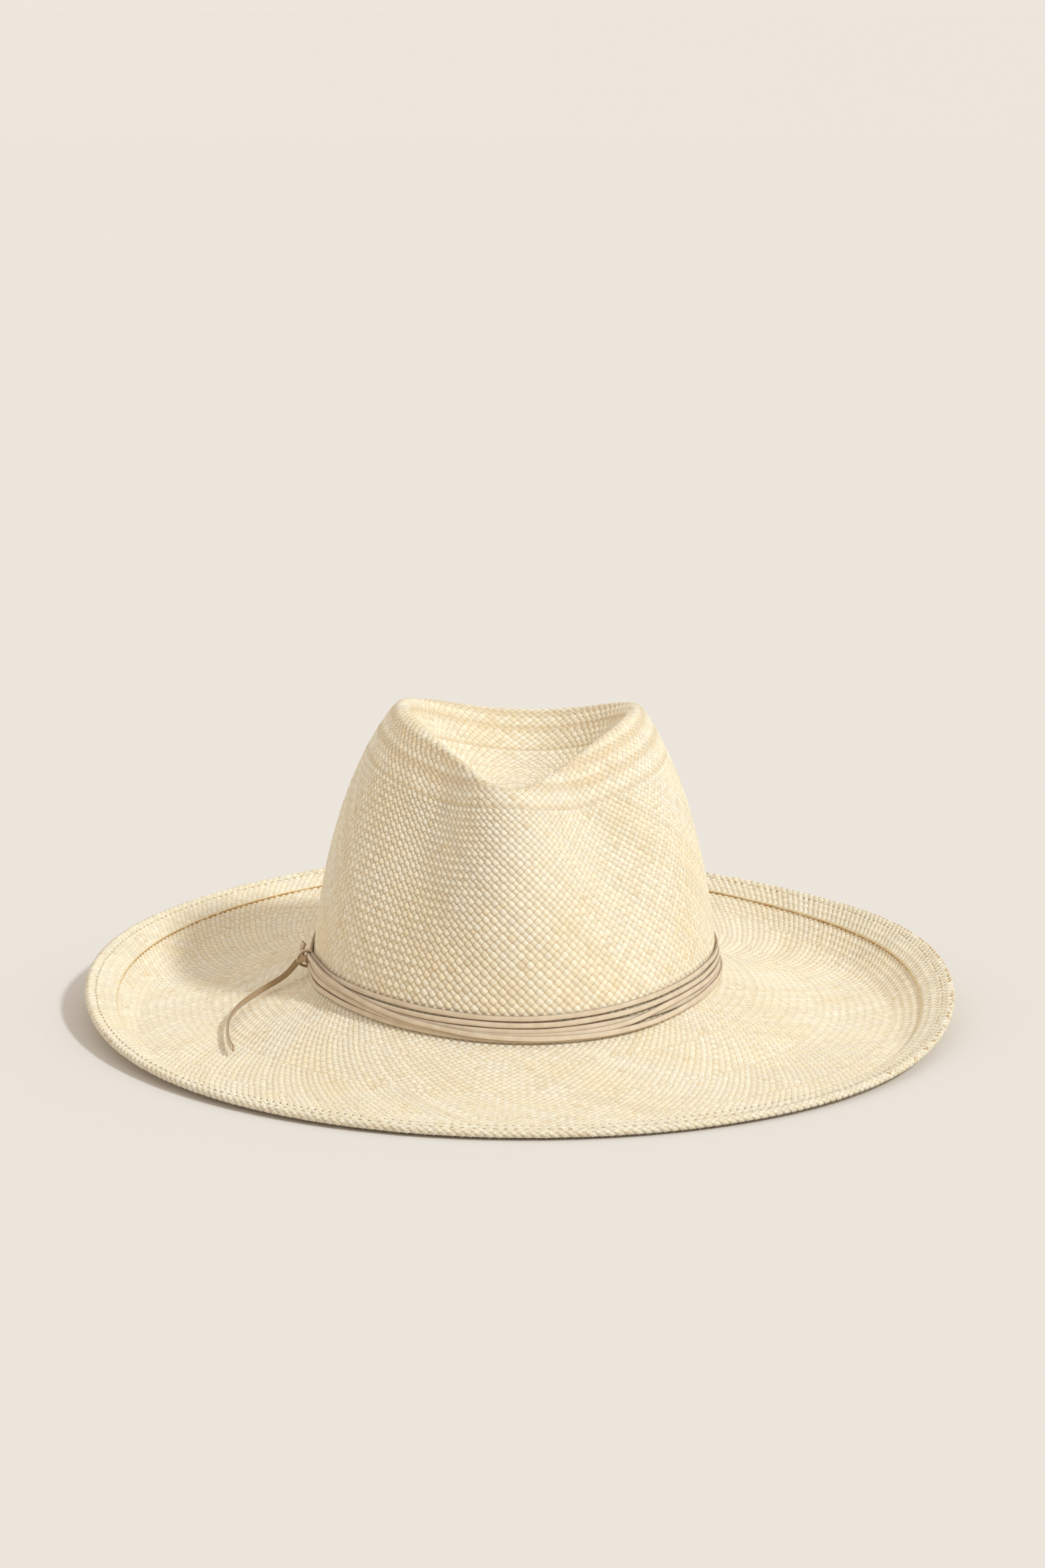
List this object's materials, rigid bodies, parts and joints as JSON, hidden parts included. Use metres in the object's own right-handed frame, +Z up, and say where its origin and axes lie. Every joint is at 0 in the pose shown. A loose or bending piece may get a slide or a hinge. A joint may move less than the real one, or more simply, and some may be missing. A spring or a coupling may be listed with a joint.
{
  "type": "wide-brim panama hat",
  "caption": "Wide-brim woven straw panama hat with a pinched teardrop crown, turned hem, leather sweatband and a wound suede lace band.",
  "frame": {"origin": "on the table under the middle of the brim's outline", "axes": "+Z up out of the crown; the pinched front of the hat faces -Y; +X is the wearer's left side, and the band's knot is on -X"},
  "size_m": [0.3767, 0.4105, 0.1326],
  "materials": {
    "straw": "natural cream toquilla straw, woven, satin",
    "straw_hem": "turned and pressed straw, browned at its cut edge",
    "thread": "cotton sewing thread",
    "sweatband_leather": "thin smooth leather, semi-matte",
    "reed": "plain pale cord",
    "suede": "greige suede lace, napped"
  },
  "bodies": {
    "hat": {"straw_body": "straw", "brim_hem": "straw_hem", "hem_thread": "thread", "sweatband": "sweatband_leather", "sweatband_reed": "reed", "sweatband_thread": "thread", "sweatband_bow": "sweatband_leather"},
    "hatband": {"hatband_lace": "suede", "lace_knot": "suede", "lace_short_end": "suede", "lace_long_end": "suede"}
  },
  "joints": [
    {"name": "hatband_lift", "type": "slide", "parent": "hat", "child": "hatband", "axis": [0, 0, 1], "range_m": [0, 0.13]}
  ]
}
